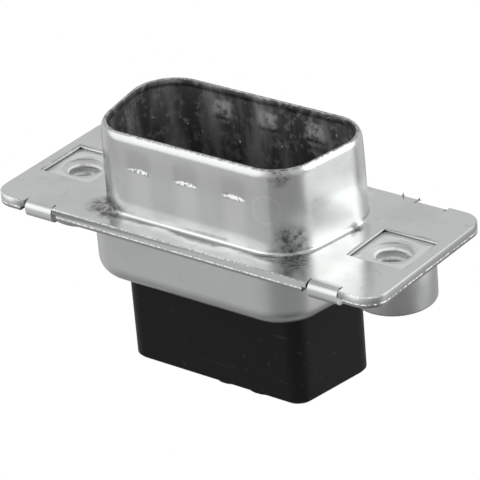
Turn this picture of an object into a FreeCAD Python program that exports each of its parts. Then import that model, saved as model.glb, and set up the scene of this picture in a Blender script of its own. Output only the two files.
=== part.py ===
import FreeCAD, Part
import math
import os
from FreeCAD import Vector
from Sketcher import Constraint

# Nine-way trapezoid plug housing for loose crimp contacts, with none fitted.
# +X runs along the flange, +Y towards the wide side of the D, +Z out of the mouth.
# The origin is under the middle of the rear face, on which the housing stands.

FAR_COUNT = 5
NEAR_COUNT = 4
DIMPLE_COUNT = 3
NEAR_ENOUGH = 1e-4

# Driving sizes, in millimetres and degrees
SIZES = {
    "body_height": 11.57,
    "hood_height": 5.84,
    "sheet": 0.4,
    "flange_side": 1.595,
    "flange_corner": 1.5,
    "flange_edge": 0.06,
    "mouth_end": 2.92,
    "mouth_wide": 8.36,
    "mouth_corner": 2.6,
    "side_slant": 10.0,
    "hood_draft": 1.0,
    "hood_base": 0.5,
    "curl_inset": 0.21,
    "curl_height": 0.56,
    "lip_height": 0.45,
    "lip_inset": 0.1,
    "dimple_pitch": 3.8,
    "dimple_width": 1.6,
    "dimple_depth": 0.24,
    "dimple_ramp": 0.24,
    "dimple_low": 3.5,
    "dimple_high": 4.8,
    "dimple_wall": 0.25,
    "bump_seat": 0.04,
    "window_side": 4.0,
    "tab_offset": 1.065,
    "tab_width": 2.2,
    "tab_bend": 0.5,
    "tab_reach": 1.25,
    "tab_corner": 0.4,
    "tab_slot": 0.6,
    "front_relief": 0.12,
    "rear_relief": 0.45,
    "tab_clearance": 0.02,
    "skirt_end_margin": 0.68,
    "skirt_side_margin": 1.02,
    "skirt_corner": 3.2,
    "skirt_drop": 4.8,
    "skirt_root": 0.25,
    "skirt_bottom": 1.3,
    "core_end": 0.535,
    "core_side": 0.745,
    "core_corner": 1.2,
    "core_edge": 0.2,
    "core_clearance": 0.1,
    "seat_clearance": 0.01,
    "front_plate": 1.6,
    "plate_edge": 1.0,
    "boss_edge": 0.15,
    "contact_pitch": 2.77,
    "row_spacing": 2.84,
    "cavity_bore": 2.1,
    "cavity_lead": 0.2,
    "pin_hole": 1.2,
    "insert_bore": 2.2,
    "insert_mouth": 3.0,
    "insert_outside": 5.42,
    "insert_length": 2.7,
    "insert_edge": 0.2,
    "insert_gap": 0.145,
    "insert_rim": 0.2,
    "neck_outside": 3.6,
    "neck_clearance": 0.02,
    "head_height": 0.12,
    "head_clearance": 0.05,
}

# Levels and fitted sizes that follow from the driving sizes
FITTED = {
    "flange_back": "body_height - sheet",
    "rear_back": "body_height - 2 * sheet",
    "rim_level": "body_height + hood_height",
    "lip_level": "body_height + hood_height - lip_height",
    "mouth_long": "%d * contact_pitch + 2 * mouth_end" % (FAR_COUNT - 1),
    "inner_long": "mouth_long + 2 * lip_inset",
    "inner_wide": "mouth_wide + 2 * lip_inset",
    "inner_corner": "mouth_corner + lip_inset",
    "hood_long": "inner_long + 2 * sheet",
    "hood_wide": "inner_wide + 2 * sheet",
    "hood_corner": "inner_corner + sheet",
    "entry_bevel": "(2 - sqrt(2)) * (hood_base + sheet)",
    "skirt_long": "hood_long + 2 * skirt_end_margin",
    "skirt_wide": "hood_wide + 2 * skirt_side_margin",
    "hole_spacing": "skirt_long + 2 * insert_gap + insert_outside",
    "flange_long": "hole_spacing + insert_outside + 2 * insert_rim",
    "flange_wide": "hood_wide + 2 * flange_side",
    "tab_middle": "hole_spacing / 2 - tab_offset",
    "core_long": "mouth_long - 2 * core_end",
    "core_wide": "mouth_wide - 2 * core_side",
    "dimple_foot": "body_height + dimple_low",
    "dimple_head": "body_height + dimple_high",
    "dimple_lip": "body_height + dimple_low - dimple_ramp",
    "dimple_edge": "hood_wide / 2 - dimple_high * tan(hood_draft)",
    "dimple_floor": "hood_wide / 2 - dimple_low * tan(hood_draft) - dimple_depth",
    "ramp_edge": "hood_wide / 2 - (dimple_low - dimple_ramp) * tan(hood_draft)",
    "bump_foot": "body_height + dimple_low - dimple_ramp - dimple_wall",
    "bump_head": "body_height + dimple_high + dimple_wall",
    "bump_root": "inner_wide / 2 + bump_seat",
    "bump_peak": "hood_wide / 2 - dimple_low * tan(hood_draft) - dimple_depth - dimple_wall",
    "tab_outer": "flange_wide / 2",
    "tab_inner": "flange_wide / 2 - sheet",
    "tab_root": "flange_wide / 2 - tab_slot",
    "tab_tip": "flange_wide / 2 - tab_reach",
    "tab_under": "body_height - 3 * sheet",
    "tab_hollow": "tab_bend - sheet",
    "notch_root": "flange_wide / 2 - tab_bend - tab_clearance",
    "skirt_end": "body_height - skirt_drop",
    "skirt_floor": "body_height - skirt_drop + sheet",
    "cup_long": "skirt_long - 2 * sheet",
    "cup_wide": "skirt_wide - 2 * sheet",
    "cup_corner": "skirt_corner - sheet",
    "cup_entry": "skirt_root + (2 - sqrt(2)) * sheet",
    "cup_bottom": "skirt_bottom - sheet",
    "plate_long": "skirt_long - 2 * sheet - 2 * core_clearance",
    "plate_wide": "skirt_wide - 2 * sheet - 2 * core_clearance",
    "plate_corner": "skirt_corner - sheet - core_clearance",
    "opening_long": "core_long + 2 * core_clearance",
    "opening_wide": "core_wide + 2 * core_clearance",
    "opening_corner": "core_corner + core_clearance",
    "boss_long": "mouth_long - 2 * core_clearance",
    "boss_wide": "mouth_wide - 2 * core_clearance",
    "boss_corner": "mouth_corner - core_clearance",
    "plate_top": "body_height - sheet - seat_clearance",
    "joint_level": "body_height - sheet - front_plate",
    "insert_end": "body_height - 2 * sheet - insert_length",
    "neck_hole": "neck_outside + 2 * neck_clearance",
    "head_side": "window_side - 2 * head_clearance",
    "head_top": "body_height - sheet + head_height",
}

doc = FreeCAD.newDocument("trapezoid_plug")


def make_sheet():
    """Hold every driving and fitted size in a sheet, each under its own name."""
    table = doc.addObject("Spreadsheet::Sheet", "Sizes")
    cells = [(name, str(number)) for name, number in SIZES.items()]
    cells += [(name, "=" + rule) for name, rule in FITTED.items()]
    for row, (name, content) in enumerate(cells, 1):
        table.set("A%d" % row, name)
        table.set("B%d" % row, content)
        table.setAlias("B%d" % row, name)
    doc.recompute()
    return table


sheet = make_sheet()


def size(name):
    """The number that the sheet holds under this name."""
    return float(sheet.get(name))


# Sketches

def origin_part(body, role):
    """The origin plane or axis of a body that has this role."""
    return next(part for part in body.Origin.OriginFeatures if part.Role == role)


def new_sketch(body, name, level=None, role="XY_Plane"):
    """A sketch on an origin plane, lifted to a level of the sheet."""
    drawing = body.newObject("Sketcher::SketchObject", name)
    drawing.AttachmentSupport = [(origin_part(body, role), "")]
    drawing.MapMode = "FlatFace"
    if level:
        drawing.setExpression(".AttachmentOffset.Base.z", level)
    return drawing


def line(drawing, start, end):
    """Add one line and give its number."""
    ends = [Vector(point[0], point[1], 0) for point in (start, end)]
    return drawing.addGeometry(Part.LineSegment(*ends), False)


def arc(drawing, centre, radius, start, end):
    """Add one arc between two angles in radians and give its number."""
    circle = Part.Circle(Vector(centre[0], centre[1], 0), Vector(0, 0, 1), radius)
    return drawing.addGeometry(Part.ArcOfCircle(circle, start, end), False)


def drive(drawing, name, constraint, rule):
    """Add a named dimension that follows a rule on the sheet."""
    index = drawing.addConstraint(constraint)
    drawing.renameConstraint(index, name)
    drawing.setExpression(".Constraints." + name, rule)


def dee(body, name, long, wide, corner, level):
    """A D outline, symmetric about Y, with its wide side towards +Y."""
    drawing = new_sketch(body, name, "Sizes." + level)
    radius = size(corner)
    slant = math.radians(size("side_slant"))
    high = size(wide) / 2 - radius
    far = size(long) / 2 - radius
    near = far - 2 * high * math.tan(slant)
    quarter = math.pi / 2
    arcs = [
        arc(drawing, (far, high), radius, -slant, quarter),
        arc(drawing, (-far, high), radius, quarter, 2 * quarter + slant),
        arc(drawing, (-near, -high), radius, 2 * quarter + slant, 3 * quarter),
        arc(drawing, (near, -high), radius, -quarter, -slant),
    ]
    side = radius * math.cos(slant)
    drop = radius * math.sin(slant)
    lines = [
        line(drawing, (far, high + radius), (-far, high + radius)),
        line(drawing, (-far - side, high - drop), (-near - side, -high - drop)),
        line(drawing, (-near, -high - radius), (near, -high - radius)),
        line(drawing, (near + side, -high - drop), (far + side, high - drop)),
    ]
    for corner_number, side_number in zip(arcs, lines):
        drawing.addConstraint(Constraint("Tangent", corner_number, 2, side_number, 1))
    for side_number, corner_number in zip(lines, arcs[1:] + arcs[:1]):
        drawing.addConstraint(Constraint("Tangent", side_number, 2, corner_number, 1))
    for other in arcs[1:]:
        drawing.addConstraint(Constraint("Equal", arcs[0], other))
    for level_line in (lines[0], lines[2]):
        drawing.addConstraint(Constraint("Symmetric", level_line, 1, level_line, 2, -2))
    drive(drawing, "corner", Constraint("Radius", arcs[0], radius), "Sizes." + corner)
    drive(drawing, "far_side", Constraint("DistanceY", -1, 1, lines[0], 1, high + radius),
          "Sizes.%s / 2" % wide)
    drive(drawing, "near_side", Constraint("DistanceY", lines[2], 1, -1, 1, high + radius),
          "Sizes.%s / 2" % wide)
    drive(drawing, "reach", Constraint("DistanceX", -1, 1, arcs[0], 3, far),
          "Sizes.%s / 2 - Sizes.%s" % (long, corner))
    drive(drawing, "slant", Constraint("Angle", lines[3], quarter - slant),
          "90 - Sizes.side_slant")
    return drawing


def rounded_plate(body, name, level):
    """The flange's outline: a rectangle about the origin with round corners."""
    drawing = new_sketch(body, name, "Sizes." + level)
    radius = size("flange_corner")
    east = size("flange_long") / 2 - radius
    north = size("flange_wide") / 2 - radius
    quarter = math.pi / 2
    centres = [(east, north), (-east, north), (-east, -north), (east, -north)]
    arcs = [arc(drawing, centre, radius, number * quarter, (number + 1) * quarter)
            for number, centre in enumerate(centres)]
    lines = [
        line(drawing, (east, north + radius), (-east, north + radius)),
        line(drawing, (-east - radius, north), (-east - radius, -north)),
        line(drawing, (-east, -north - radius), (east, -north - radius)),
        line(drawing, (east + radius, -north), (east + radius, north)),
    ]
    for corner_number, side_number in zip(arcs, lines):
        drawing.addConstraint(Constraint("Tangent", corner_number, 2, side_number, 1))
    for side_number, corner_number in zip(lines, arcs[1:] + arcs[:1]):
        drawing.addConstraint(Constraint("Tangent", side_number, 2, corner_number, 1))
    for other in arcs[1:]:
        drawing.addConstraint(Constraint("Equal", arcs[0], other))
    drawing.addConstraint(Constraint("Symmetric", lines[0], 1, lines[0], 2, -2))
    drawing.addConstraint(Constraint("Symmetric", lines[3], 1, lines[3], 2, -1))
    drive(drawing, "corner", Constraint("Radius", arcs[0], radius), "Sizes.flange_corner")
    drive(drawing, "wide", Constraint("DistanceY", lines[3], 1, lines[3], 2, 2 * north),
          "Sizes.flange_wide - 2 * Sizes.flange_corner")
    drive(drawing, "long", Constraint("DistanceX", lines[0], 2, lines[0], 1, 2 * east),
          "Sizes.flange_long - 2 * Sizes.flange_corner")
    return drawing


def polygon(drawing, corners):
    """Closed straight outline; each corner is a pair of rules on the sheet."""
    marks = [tuple(rule_value(rule) for rule in corner) for corner in corners]
    lines = [line(drawing, marks[n], marks[(n + 1) % len(marks)]) for n in range(len(marks))]
    for number, current in enumerate(lines):
        following = lines[(number + 1) % len(lines)]
        drawing.addConstraint(Constraint("Coincident", current, 2, following, 1))
    for current, mark, corner in zip(lines, marks, corners):
        for kind, place, rule in zip(("DistanceX", "DistanceY"), mark, corner):
            name = "%s_%d" % (kind, drawing.ConstraintCount)
            drive(drawing, name, Constraint(kind, -1, 1, current, 1, place), rule)
    return lines


def rule_value(rule):
    """The number that a rule of the form Sizes.name, perhaps negated, gives now."""
    sign = -1.0 if rule.startswith("-") else 1.0
    return sign * size(rule.lstrip("-").replace("Sizes.", ""))


def circle_at(body, name, level, place, diameter):
    """One circle whose centre follows a pair of rules on the sheet."""
    drawing = new_sketch(body, name, "Sizes." + level)
    radius = size(diameter) / 2
    ring = drawing.addGeometry(Part.Circle(Vector(0, 0, 0), Vector(0, 0, 1), radius), False)
    drive(drawing, "across", Constraint("Radius", ring, radius), "Sizes.%s / 2" % diameter)
    for kind, rule in zip(("DistanceX", "DistanceY"), place):
        if rule:
            drive(drawing, kind + "_place", Constraint(kind, -1, 1, ring, 3, 0.0), rule)
        else:
            on_axis = -2 if kind == "DistanceX" else -1
            drawing.addConstraint(Constraint("PointOnObject", ring, 3, on_axis))
    return drawing


# Features

def pad(body, name, profile, length, down=False, both=False, draft=None):
    """Grow material from a profile."""
    feature = body.newObject("PartDesign::Pad", name)
    feature.Profile = profile
    feature.setExpression("Length", length)
    feature.Reversed = down
    if both:
        feature.SideType = "Symmetric"
    if draft:
        feature.setExpression("TaperAngle", draft)
    return feature


def cut(body, name, profile, length, up=False, both=False):
    """Take material away from a profile, downwards unless told otherwise."""
    feature = body.newObject("PartDesign::Pocket", name)
    feature.Profile = profile
    feature.setExpression("Length", length)
    feature.Reversed = up
    if both:
        feature.SideType = "Symmetric"
    return feature


def row_of(body, name, features, count, pitch):
    """Repeat features along X at a pitch."""
    doc.recompute()
    pattern = body.newObject("PartDesign::LinearPattern", name)
    pattern.Originals = features
    pattern.Direction = (origin_part(body, "X_Axis"), [""])
    pattern.Mode = "Spacing"
    pattern.Occurrences = count
    pattern.setExpression("Offset", pitch)
    body.Tip = pattern
    doc.recompute()
    return pattern


def edges_where(feature, test):
    """Names of the edges of a feature's shape whose box passes a test."""
    doc.recompute()
    return ["Edge%d" % number for number, edge in enumerate(feature.Shape.Edges, 1)
            if test(edge.BoundBox)]


def flat_at(box, level):
    """Whether an edge's box lies in the plane at a level."""
    return abs(box.ZMin - level) < NEAR_ENOUGH and abs(box.ZMax - level) < NEAR_ENOUGH


def within(box, long, wide):
    """Whether an edge's box lies inside a rectangle of these whole sizes."""
    reach = max(abs(box.XMin), abs(box.XMax))
    depth = max(abs(box.YMin), abs(box.YMax))
    return reach < long / 2 + NEAR_ENOUGH and depth < wide / 2 + NEAR_ENOUGH


def ring_edges(feature, level, long, wide):
    """The edges at a level inside the rectangle round a D outline."""
    return edges_where(feature, lambda box: flat_at(box, size(level))
                       and within(box, size(long), size(wide)))


def rim_edges(feature, level):
    """The edges at a level along the flange's outer outline."""
    def outermost(box):
        end = max(abs(box.XMin), abs(box.XMax)) > size("flange_long") / 2 - NEAR_ENOUGH
        side = max(abs(box.YMin), abs(box.YMax)) > size("flange_wide") / 2 - NEAR_ENOUGH
        return flat_at(box, size(level)) and (end or side)
    return edges_where(feature, outermost)


def finish(body, kind, name, base, edges, amount):
    """Round or bevel some edges; kind is Fillet or Chamfer."""
    if not edges:
        raise RuntimeError("no edges for " + name)
    feature = body.newObject("PartDesign::" + kind, name)
    feature.Base = (base, edges)
    feature.setExpression("Radius" if kind == "Fillet" else "Size", amount)
    doc.recompute()
    return feature


def new_body(name):
    """A body that carries its node's name."""
    body = doc.addObject("PartDesign::Body", name)
    body.Label = name
    return body


# Front shell: one drawn sheet with the hood, the windows and four folded tabs

def add_hood(body):
    """Flange and hood, hollowed, with the drawn bend at the base and the curl at the rim."""
    flange = pad(body, "flange", rounded_plate(body, "flange_outline", "flange_back"),
                 "Sizes.sheet")
    outside = dee(body, "hood_outline", "hood_long", "hood_wide", "hood_corner", "body_height")
    hood = pad(body, "hood", outside, "Sizes.hood_height", draft="-Sizes.hood_draft")
    edges = ring_edges(hood, "body_height", "hood_long", "hood_wide")
    base = finish(body, "Fillet", "hood_base_round", hood, edges, "Sizes.hood_base")
    edges = edges_where(base, lambda box: flat_at(box, size("rim_level")))
    rim = finish(body, "Chamfer", "rim_curl", base, edges, "Sizes.curl_height")
    rim.ChamferType = "Two distances"
    rim.setExpression("Size2", "Sizes.curl_inset")
    doc.recompute()
    inside = dee(body, "inner_outline", "inner_long", "inner_wide", "inner_corner", "flange_back")
    cut(body, "hood_hollow", inside, "Sizes.lip_level - Sizes.flange_back", up=True)
    opening = dee(body, "mouth_outline", "mouth_long", "mouth_wide", "mouth_corner", "rim_level")
    mouth = cut(body, "mouth", opening, "2 * Sizes.lip_height")
    edges = ring_edges(mouth, "flange_back", "inner_long", "inner_wide")
    entry = finish(body, "Chamfer", "entry_bevel", mouth, edges, "Sizes.entry_bevel")
    edges = rim_edges(entry, "body_height")
    return finish(body, "Chamfer", "flange_edge", entry, edges, "Sizes.flange_edge")


def add_dimples(body):
    """Three pressed dimples in each long wall, hollow outside and raised inside."""
    start = "-Sizes.dimple_pitch * (%d - 1) / 2" % DIMPLE_COUNT
    bumps = new_sketch(body, "bump_profile", start, "YZ_Plane")
    hollows = new_sketch(body, "dimple_profile", start, "YZ_Plane")
    for side in ("", "-"):
        polygon(bumps, [
            (side + "Sizes.bump_root", "Sizes.bump_foot"),
            (side + "Sizes.bump_root", "Sizes.bump_head"),
            (side + "Sizes.bump_peak", "Sizes.dimple_foot"),
        ])
        polygon(hollows, [
            (side + "Sizes.hood_wide", "Sizes.dimple_lip"),
            (side + "Sizes.hood_wide", "Sizes.dimple_head"),
            (side + "Sizes.dimple_edge", "Sizes.dimple_head"),
            (side + "Sizes.dimple_floor", "Sizes.dimple_foot"),
            (side + "Sizes.ramp_edge", "Sizes.dimple_lip"),
        ])
    bump = pad(body, "bump", bumps, "Sizes.dimple_width + Sizes.dimple_wall", both=True)
    hollow = cut(body, "dimple", hollows, "Sizes.dimple_width", both=True)
    return row_of(body, "dimple_row", [bump, hollow], DIMPLE_COUNT, "Sizes.dimple_pitch")


def add_windows(body):
    """A square window round each screw hole."""
    opening = new_sketch(body, "window_outline", "Sizes.body_height")
    half = size("window_side") / 2
    middle = -size("hole_spacing") / 2
    marks = [(middle - half, -half), (middle + half, -half), (middle + half, half),
             (middle - half, half)]
    square(opening, marks, "Sizes.window_side", "Sizes.hole_spacing / 2")
    window = cut(body, "window", opening, "Sizes.sheet")
    return row_of(body, "window_pair", [window], 2, "Sizes.hole_spacing")


def square(drawing, marks, side, offset):
    """A square whose middle is on the X axis, left of the origin by an offset."""
    lines = [line(drawing, marks[n], marks[(n + 1) % 4]) for n in range(4)]
    for number in range(4):
        drawing.addConstraint(Constraint("Coincident", lines[number], 2,
                                         lines[(number + 1) % 4], 1))
    for number in (0, 2):
        drawing.addConstraint(Constraint("Horizontal", lines[number]))
    drawing.addConstraint(Constraint("Vertical", lines[3]))
    drawing.addConstraint(Constraint("Symmetric", lines[1], 1, lines[1], 2, -1))
    width = marks[1][0] - marks[0][0]
    drive(drawing, "long", Constraint("DistanceX", lines[0], 1, lines[0], 2, width), side)
    drive(drawing, "wide", Constraint("DistanceY", lines[1], 1, lines[1], 2, width), side)
    drive(drawing, "place", Constraint("DistanceX", lines[0], 1, -1, 1, -marks[0][0]),
          "%s + %s / 2" % (offset, side))


def tab_strip(body, name, level, root, relief):
    """Rectangles over both long edges where one pair of tabs leaves the flange."""
    drawing = new_sketch(body, name, "Sizes." + level)
    half = size("tab_width") / 2 + size(relief)
    middle = -size("tab_middle")
    for side in (-1, 1):
        start = side * size(root)
        end = side * size("flange_wide")
        marks = [(middle - half, start), (middle + half, start), (middle + half, end),
                 (middle - half, end)]
        lines = [line(drawing, marks[n], marks[(n + 1) % 4]) for n in range(4)]
        for number in range(4):
            drawing.addConstraint(Constraint("Coincident", lines[number], 2,
                                             lines[(number + 1) % 4], 1))
            kind = "Vertical" if number % 2 else "Horizontal"
            drawing.addConstraint(Constraint(kind, lines[number]))
        label = "far" if side > 0 else "near"
        sign = "" if side > 0 else "-"
        drive(drawing, label + "_root", Constraint("DistanceY", -1, 1, lines[0], 1, start),
              "%sSizes.%s" % (sign, root))
        drive(drawing, label + "_end", Constraint("DistanceY", -1, 1, lines[2], 1, end),
              sign + "Sizes.flange_wide")
        drive(drawing, label + "_left",
              Constraint("DistanceX", -1, 1, lines[0], 1, middle - half),
              "-Sizes.tab_middle - Sizes.tab_width / 2 - Sizes.%s" % relief)
        drive(drawing, label + "_right",
              Constraint("DistanceX", -1, 1, lines[0], 2, middle + half),
              "-Sizes.tab_middle + Sizes.tab_width / 2 + Sizes.%s" % relief)
    return drawing


def add_tabs(body):
    """Four tabs that fold round the rear shell's flange and hold it."""
    strip = tab_strip(body, "tab_gap_outline", "body_height", "tab_root", "front_relief")
    gap = cut(body, "tab_gap", strip, "Sizes.sheet")
    row_of(body, "tab_gaps", [gap], 2, "2 * Sizes.tab_middle")
    profile = new_sketch(body, "tab_profile", "-Sizes.tab_middle", "YZ_Plane")
    for side in ("", "-"):
        polygon(profile, [
            (side + "Sizes.tab_root", "Sizes.body_height"),
            (side + "Sizes.tab_outer", "Sizes.body_height"),
            (side + "Sizes.tab_outer", "Sizes.tab_under"),
            (side + "Sizes.tab_tip", "Sizes.tab_under"),
            (side + "Sizes.tab_tip", "Sizes.rear_back"),
            (side + "Sizes.tab_inner", "Sizes.rear_back"),
            (side + "Sizes.tab_inner", "Sizes.flange_back"),
            (side + "Sizes.tab_root", "Sizes.flange_back"),
        ])
    tab = pad(body, "tab", profile, "Sizes.tab_width", both=True)
    tabs = row_of(body, "tabs", [tab], 2, "2 * Sizes.tab_middle")
    outer = edges_where(tabs, lambda box: fold_edge(box, "tab_outer", ("body_height", "tab_under")))
    bend = finish(body, "Fillet", "tab_bend", tabs, outer, "Sizes.tab_bend")
    inner = edges_where(bend, lambda box: fold_edge(box, "tab_inner", ("flange_back", "rear_back")))
    hollow = finish(body, "Fillet", "tab_hollow", bend, inner, "Sizes.tab_hollow")
    tips = edges_where(hollow, tip_edge)
    return finish(body, "Chamfer", "tab_corners", hollow, tips, "Sizes.tab_corner")


def fold_edge(box, reach, levels):
    """Whether an edge's box is one of the folds across a tab."""
    across = abs(box.XLength - size("tab_width")) < NEAR_ENOUGH
    side = abs(abs(box.YMin) - size(reach)) < NEAR_ENOUGH and box.YLength < NEAR_ENOUGH
    return across and side and any(flat_at(box, size(level)) for level in levels)


def tip_edge(box):
    """Whether an edge's box is an upright corner at a tab's tip."""
    upright = box.XLength < NEAR_ENOUGH and box.YLength < NEAR_ENOUGH
    at_tip = abs(abs(box.YMin) - size("tab_tip")) < NEAR_ENOUGH
    return upright and at_tip and abs(box.ZMin - size("tab_under")) < NEAR_ENOUGH


def make_front_shell():
    """The whole front shell."""
    body = new_body("front_shell")
    add_hood(body)
    add_dimples(body)
    add_windows(body)
    add_tabs(body)
    return body


# Rear shell: a second drawn sheet whose cup holds the two insulators

def make_rear_shell():
    """Flange, drawn skirt, opening in its floor, insert holes and tab notches."""
    body = new_body("rear_shell")
    pad(body, "flange", rounded_plate(body, "flange_outline", "rear_back"), "Sizes.sheet")
    outside = dee(body, "skirt_outline", "skirt_long", "skirt_wide", "skirt_corner", "rear_back")
    skirt = pad(body, "skirt", outside, "Sizes.skirt_drop - 2 * Sizes.sheet", down=True)
    edges = ring_edges(skirt, "rear_back", "skirt_long", "skirt_wide")
    root = finish(body, "Chamfer", "skirt_root", skirt, edges, "Sizes.skirt_root")
    edges = edges_where(root, lambda box: flat_at(box, size("skirt_end")))
    bottom = finish(body, "Fillet", "skirt_bottom", root, edges, "Sizes.skirt_bottom")
    edges = rim_edges(bottom, "rear_back")
    finish(body, "Chamfer", "flange_edge", bottom, edges, "Sizes.flange_edge")
    inside = dee(body, "cup_outline", "cup_long", "cup_wide", "cup_corner", "flange_back")
    cup = cut(body, "cup", inside, "Sizes.flange_back - Sizes.skirt_floor")
    edges = ring_edges(cup, "flange_back", "cup_long", "cup_wide")
    entry = finish(body, "Chamfer", "cup_entry", cup, edges, "Sizes.cup_entry")
    edges = edges_where(entry, lambda box: flat_at(box, size("skirt_floor")))
    finish(body, "Chamfer", "cup_bottom", entry, edges, "Sizes.cup_bottom")
    opening = dee(body, "opening_outline", "opening_long", "opening_wide", "opening_corner",
                  "skirt_floor")
    cut(body, "opening", opening, "Sizes.sheet")
    hole = circle_at(body, "insert_hole_outline", "flange_back",
                     ("-Sizes.hole_spacing / 2", None), "neck_hole")
    row_of(body, "insert_holes", [cut(body, "insert_hole", hole, "Sizes.sheet")], 2,
           "Sizes.hole_spacing")
    strip = tab_strip(body, "notch_outline", "flange_back", "notch_root", "rear_relief")
    row_of(body, "notches", [cut(body, "notch", strip, "Sizes.sheet")], 2, "2 * Sizes.tab_middle")
    return body


# Insulators: two mouldings; nine cavities in the rear one step down to pin holes in the front one

def contact_rows(body, name, level, diameter, length):
    """Round holes in both contact rows, the longer one on the wide side."""
    last = None
    for row, count, side in (("far", FAR_COUNT, ""), ("near", NEAR_COUNT, "-")):
        place = ("-Sizes.contact_pitch * (%d - 1) / 2" % count, side + "Sizes.row_spacing / 2")
        outline = circle_at(body, "%s_%s_outline" % (name, row), level, place, diameter)
        hole = cut(body, "%s_%s" % (name, row), outline, length)
        last = row_of(body, "%s_%s_row" % (name, row), [hole], count, "Sizes.contact_pitch")
    return last


def make_front_insulator():
    """Plate under the front shell and boss at the bottom of the hood."""
    body = new_body("front_insulator")
    base = dee(body, "plate_outline", "plate_long", "plate_wide", "plate_corner", "joint_level")
    pad(body, "plate", base, "Sizes.plate_top - Sizes.joint_level")
    face = dee(body, "boss_outline", "boss_long", "boss_wide", "boss_corner", "joint_level")
    boss = pad(body, "boss", face, "Sizes.body_height - Sizes.joint_level")
    edges = edges_where(boss, lambda box: flat_at(box, size("body_height")))
    finish(body, "Chamfer", "boss_edge", boss, edges, "Sizes.boss_edge")
    contact_rows(body, "pin_hole", "body_height", "pin_hole",
                 "Sizes.body_height - Sizes.joint_level")
    return body


def make_rear_insulator():
    """Plate on the skirt's floor and the long block that the contacts enter."""
    body = new_body("rear_insulator")
    base = dee(body, "plate_outline", "plate_long", "plate_wide", "plate_corner", "skirt_floor")
    plate = pad(body, "plate", base, "Sizes.joint_level - Sizes.skirt_floor")
    edges = edges_where(plate, lambda box: flat_at(box, size("skirt_floor")))
    finish(body, "Chamfer", "plate_edge", plate, edges, "Sizes.plate_edge")
    block = dee(body, "core_outline", "core_long", "core_wide", "core_corner", "skirt_floor")
    core = pad(body, "core", block, "Sizes.skirt_floor", down=True)
    edges = edges_where(core, lambda box: flat_at(box, 0))
    finish(body, "Chamfer", "core_edge", core, edges, "Sizes.core_edge")
    holes = contact_rows(body, "cavity", "joint_level", "cavity_bore", "Sizes.joint_level")
    across = size("cavity_bore")
    edges = edges_where(holes, lambda box: flat_at(box, 0)
                        and abs(box.XLength - across) < NEAR_ENOUGH)
    finish(body, "Chamfer", "cavity_lead", holes, edges, "Sizes.cavity_lead")
    return body


# Threaded inserts: round bodies riveted through the rear shell

def make_insert(name, side):
    """Body below the flange, neck through the rear shell and square riveted head."""
    body = new_body(name)
    centre = (None, None)
    barrel = pad(body, "barrel", circle_at(body, "barrel_outline", "rear_back", centre,
                                           "insert_outside"), "Sizes.insert_length", down=True)
    edges = edges_where(barrel, lambda box: flat_at(box, size("insert_end")))
    finish(body, "Chamfer", "barrel_edge", barrel, edges, "Sizes.insert_edge")
    pad(body, "neck", circle_at(body, "neck_outline", "rear_back", centre, "neck_outside"),
        "Sizes.sheet")
    outline = new_sketch(body, "head_outline", "Sizes.flange_back")
    half = size("head_side") / 2
    square(outline, [(-half, -half), (half, -half), (half, half), (-half, half)],
           "Sizes.head_side", "0")
    pad(body, "head", outline, "Sizes.head_height")
    hole = cut(body, "hole", circle_at(body, "hole_outline", "head_top", centre, "insert_bore"),
               "Sizes.head_top - Sizes.insert_end")
    edges = edges_where(hole, lambda box: flat_at(box, size("head_top"))
                        and abs(box.XLength - size("insert_bore")) < NEAR_ENOUGH)
    mouth = finish(body, "Chamfer", "hole_mouth", hole, edges,
                   "(Sizes.insert_mouth - Sizes.insert_bore) / 2")
    edges = edges_where(mouth, lambda box: flat_at(box, size("insert_end"))
                        and abs(box.XLength - size("insert_bore")) < NEAR_ENOUGH)
    finish(body, "Chamfer", "hole_end", mouth, edges, "Sizes.insert_edge")
    body.setExpression(".Placement.Base.x", side + "Sizes.hole_spacing / 2")
    return body


def check_features(bodies):
    """Stop if an object failed, if a cut took nothing away or if a body isn't one sound solid."""
    for item in doc.Objects:
        if "Invalid" in item.State or "Error" in item.State:
            raise RuntimeError("%s failed: %s" % (item.Name, item.State))
        before = getattr(item, "BaseFeature", None)
        if item.TypeId == "PartDesign::Pocket" and before.Shape.Volume <= item.Shape.Volume:
            raise RuntimeError(item.Name + " took nothing away")
    for body in bodies:
        if body.Shape.isNull() or not body.Shape.isValid() or len(body.Shape.Solids) != 1:
            raise RuntimeError(body.Label + " isn't one sound solid")


def main():
    """Build every piece, check it and write one file each."""
    bodies = [
        make_front_shell(),
        make_rear_shell(),
        make_front_insulator(),
        make_rear_insulator(),
        make_insert("threaded_insert_left", "-"),
        make_insert("threaded_insert_right", ""),
    ]
    doc.recompute()
    check_features(bodies)
    os.makedirs("parts", exist_ok=True)
    for body in bodies:
        body.Shape.exportStep("parts/%s.step" % body.Label)
        box = body.Shape.BoundBox
        print(body.Label, "volume", round(body.Shape.Volume, 3), "box",
              [round(number, 3) for number in (box.XMin, box.YMin, box.ZMin,
                                               box.XMax, box.YMax, box.ZMax)])


main()
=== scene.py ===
"""Looks of a nine-way plug housing: tin-plated shells, a black insulator and two threaded inserts.

Everything is in metres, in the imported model's frame: +X along the flange, +Y towards the
wide side of the hood, +Z out of its mouth, and the rear face of the insulator on Z = 0.
"""

import math

import bmesh
import bpy
from bpy.props import FloatProperty, FloatVectorProperty, PointerProperty
from bpy.types import Operator, Panel, PropertyGroup
from mathutils import Matrix, Vector, noise


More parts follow.
